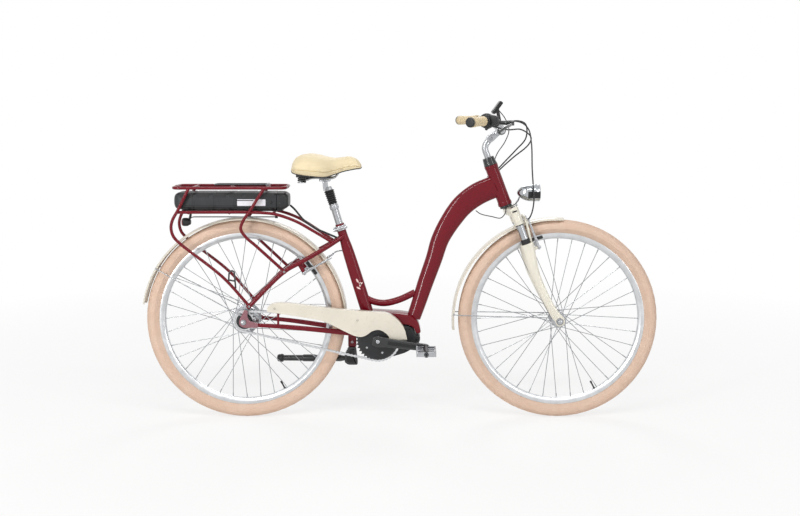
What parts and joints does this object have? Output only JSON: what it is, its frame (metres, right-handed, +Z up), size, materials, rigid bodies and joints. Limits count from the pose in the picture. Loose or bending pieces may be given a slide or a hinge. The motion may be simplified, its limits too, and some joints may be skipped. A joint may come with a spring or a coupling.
{
  "type": "step through bike",
  "caption": "Step-through city e-bike: low bowed frame, sprung fork, rear carrier with a sliding battery, chaincase, fenders, swept bar and sprung saddle.",
  "frame": {"origin": "on the ground, under the middle of the bicycle's length, in its middle plane", "axes": "+X towards the front wheel, +Y to the rider's left, +Z up; the chain is on the -Y side"},
  "size_m": [1.8514, 0.636, 1.1395],
  "materials": {
    "frame_paint": "gloss",
    "cream_paint": "gloss",
    "cream_plastic": "gloss",
    "tyre_rubber": "matt, with tread",
    "rim_alloy": "polished",
    "bright_alloy": "satin polished",
    "spoke_steel": "bright",
    "chain_steel": "oiled",
    "chrome": "mirror bright",
    "black_metal": "satin",
    "black_plastic": "fine grain",
    "black_gloss": "gloss",
    "battery_case": "fine grain",
    "cable_sheath": "satin",
    "bellows_rubber": "matt",
    "saddle_leather": "soft satin",
    "grip_leather": "soft satin"
  },
  "bodies": {
    "frame": {"frame": "frame_paint", "motor_housing": "black_plastic", "rear_carrier": "frame_paint", "battery_dock": "black_plastic", "tail_light": "black_plastic", "rear_fender": "cream_paint", "chaincase": "cream_plastic", "kickstand_base": "bright_alloy", "seat_clamp": "bright_alloy", "rear_axle": "spoke_steel", "chain": "chain_steel", "battery_lead": "cable_sheath", "rear_brake_noodle": "chain_steel"},
    "steering": {"fork_crown": "cream_paint", "headset_cap": "black_metal", "stem_quill": "bright_alloy", "stem_arm": "bright_alloy", "handlebar": "bright_alloy", "grip_right": "grip_leather", "grip_left": "grip_leather", "shifter_housing": "black_plastic", "lever_housing_right": "black_plastic", "lever_housing_left": "black_plastic", "display": "black_gloss", "headlight": "chrome", "front_brake_cable": "cable_sheath", "rear_brake_cable": "cable_sheath", "shift_cable": "cable_sheath", "display_cable": "cable_sheath", "light_cable": "cable_sheath"},
    "lowers": {"fork_lowers": "cream_paint", "front_fender": "cream_paint", "front_axle": "spoke_steel"},
    "front_wheel": {"front_wheel_tyre": "tyre_rubber", "front_wheel_rim": "rim_alloy", "front_wheel_hub": "spoke_steel"},
    "rear_wheel": {"rear_wheel_tyre": "tyre_rubber", "rear_wheel_rim": "rim_alloy", "rear_wheel_hub": "spoke_steel"},
    "crankset": {"chainring": "black_metal", "crank_right": "black_metal", "crank_left": "black_metal"},
    "sprocket": {"rear_sprocket": "chain_steel"},
    "right_pedal": {"pedal_right": "bright_alloy"},
    "left_pedal": {"pedal_left": "bright_alloy"},
    "stand_leg": {"kickstand_leg": "black_metal"},
    "clip": {"carrier_clip": "black_metal"},
    "battery_pack": {"battery": "battery_case"},
    "post": {"seat_post": "bright_alloy"},
    "saddle_unit": {"seat_plunger": "bright_alloy", "saddle_rails": "black_metal", "saddle": "saddle_leather", "post_bellows": "bellows_rubber"},
    "front_arm_right": {"front_brake_arm_right": "bright_alloy"},
    "front_arm_left": {"front_brake_arm_left": "bright_alloy"},
    "rear_arm_right": {"rear_brake_arm_right": "bright_alloy"},
    "rear_arm_left": {"rear_brake_arm_left": "bright_alloy"},
    "lever_right": {"brake_lever_right": "black_metal"},
    "lever_left": {"brake_lever_left": "black_metal"},
    "shift_ring": {"twist_ring": "bellows_rubber"}
  },
  "joints": [
    {"name": "steering_turn", "type": "hinge", "parent": "frame", "child": "steering", "pos_m": [0.37772, 0, 0.7692], "axis": [-0.3502, 0, 0.9367], "range_deg": [-60, 60], "deforming": ["rear_brake_cable", "shift_cable", "display_cable", "light_cable"]},
    {"name": "fork_travel", "type": "slide", "parent": "steering", "child": "lowers", "axis": [-0.3502, 0, 0.9367], "range_m": [0, 0.03], "stiffness_N_per_m": 8000, "springref_m": -0.035, "deforming": ["front_brake_cable"]},
    {"name": "front_wheel_spin", "type": "hinge", "parent": "lowers", "child": "front_wheel", "pos_m": [0.56772, 0, 0.358], "axis": [0, 1, 0], "continuous": true},
    {"name": "rear_wheel_spin", "type": "hinge", "parent": "frame", "child": "rear_wheel", "pos_m": [-0.55428, 0, 0.358], "axis": [0, 1, 0], "continuous": true},
    {"name": "crank_spin", "type": "hinge", "parent": "frame", "child": "crankset", "pos_m": [-0.07828, 0, 0.292], "axis": [0, 1, 0], "continuous": true},
    {"name": "sprocket_spin", "type": "hinge", "parent": "frame", "child": "sprocket", "pos_m": [-0.55428, 0, 0.358], "axis": [0, 1, 0], "continuous": true},
    {"name": "pedal_right_spin", "type": "hinge", "parent": "crankset", "child": "right_pedal", "pos_m": [0.09045, -0.145, 0.27128], "axis": [0, 1, 0], "continuous": true},
    {"name": "pedal_left_spin", "type": "hinge", "parent": "crankset", "child": "left_pedal", "pos_m": [-0.24702, 0.145, 0.31272], "axis": [0, 1, 0], "continuous": true},
    {"name": "kickstand_swing", "type": "hinge", "parent": "frame", "child": "stand_leg", "pos_m": [-0.19528, 0.0603, 0.197], "axis": [-0.0745, -0.8177, -0.5708], "range_deg": [0, 120]},
    {"name": "clip_lift", "type": "hinge", "parent": "frame", "child": "clip", "pos_m": [-0.47228, 0, 0.8428], "axis": [0, 1, 0], "range_deg": [0, 100], "stiffness_Nm_per_rad": 0.4, "springref_deg": -28.65},
    {"name": "battery_slide", "type": "slide", "parent": "frame", "child": "battery_pack", "axis": [-1, 0, 0], "range_m": [0, 0.38]},
    {"name": "seat_height", "type": "slide", "parent": "frame", "child": "post", "axis": [-0.2974, 0, 0.9548], "range_m": [-0.035, 0.075]},
    {"name": "seat_spring", "type": "slide", "parent": "post", "child": "saddle_unit", "axis": [0.2974, 0, -0.9548], "range_m": [0, 0.03], "stiffness_N_per_m": 12000, "springref_m": -0.02, "deforming": ["post_bellows"]},
    {"name": "front_arm_right_swing", "type": "hinge", "parent": "lowers", "child": "front_arm_right", "pos_m": [0.48829, -0.041, 0.62051], "axis": [-0.9367, 0, -0.3502], "range_deg": [0, 3], "stiffness_Nm_per_rad": 1.5, "springref_deg": -5.73},
    {"name": "front_arm_left_swing", "type": "hinge", "parent": "lowers", "child": "front_arm_left", "pos_m": [0.48829, 0.041, 0.62051], "axis": [0.9367, 0, 0.3502], "range_deg": [0, 3], "stiffness_Nm_per_rad": 1.5, "springref_deg": -5.73},
    {"name": "rear_arm_right_swing", "type": "hinge", "parent": "frame", "child": "rear_arm_right", "pos_m": [-0.34328, -0.041, 0.534], "axis": [-0.4891, 0, 0.8722], "range_deg": [0, 3], "stiffness_Nm_per_rad": 1.5, "springref_deg": -5.73},
    {"name": "rear_arm_left_swing", "type": "hinge", "parent": "frame", "child": "rear_arm_left", "pos_m": [-0.34328, 0.041, 0.534], "axis": [0.4891, 0, -0.8722], "range_deg": [0, 3], "stiffness_Nm_per_rad": 1.5, "springref_deg": -5.73, "deforming": ["rear_brake_noodle"]},
    {"name": "lever_right_pull", "type": "hinge", "parent": "steering", "child": "lever_right", "pos_m": [0.38481, -0.13587, 1.06196], "axis": [0, 0, -1], "range_deg": [0, 16], "stiffness_Nm_per_rad": 1, "springref_deg": -11.46},
    {"name": "lever_left_pull", "type": "hinge", "parent": "steering", "child": "lever_left", "pos_m": [0.38481, 0.13587, 1.06196], "axis": [0, 0, 1], "range_deg": [0, 16], "stiffness_Nm_per_rad": 1, "springref_deg": -11.46},
    {"name": "shift_twist", "type": "hinge", "parent": "steering", "child": "shift_ring", "pos_m": [0.27995, -0.22265, 1.07114], "axis": [-0.5205, -0.8533, -0.0325], "range_deg": [0, 70]}
  ],
  "couplings": [
    {"joint": "sprocket_spin", "follows": "crank_spin", "ratio": 2.1111},
    {"joint": "front_arm_right_swing", "follows": "lever_left_pull", "ratio": 0.1875},
    {"joint": "front_arm_left_swing", "follows": "lever_left_pull", "ratio": 0.1875},
    {"joint": "rear_arm_right_swing", "follows": "lever_right_pull", "ratio": 0.1875},
    {"joint": "rear_arm_left_swing", "follows": "lever_right_pull", "ratio": 0.1875}
  ]
}
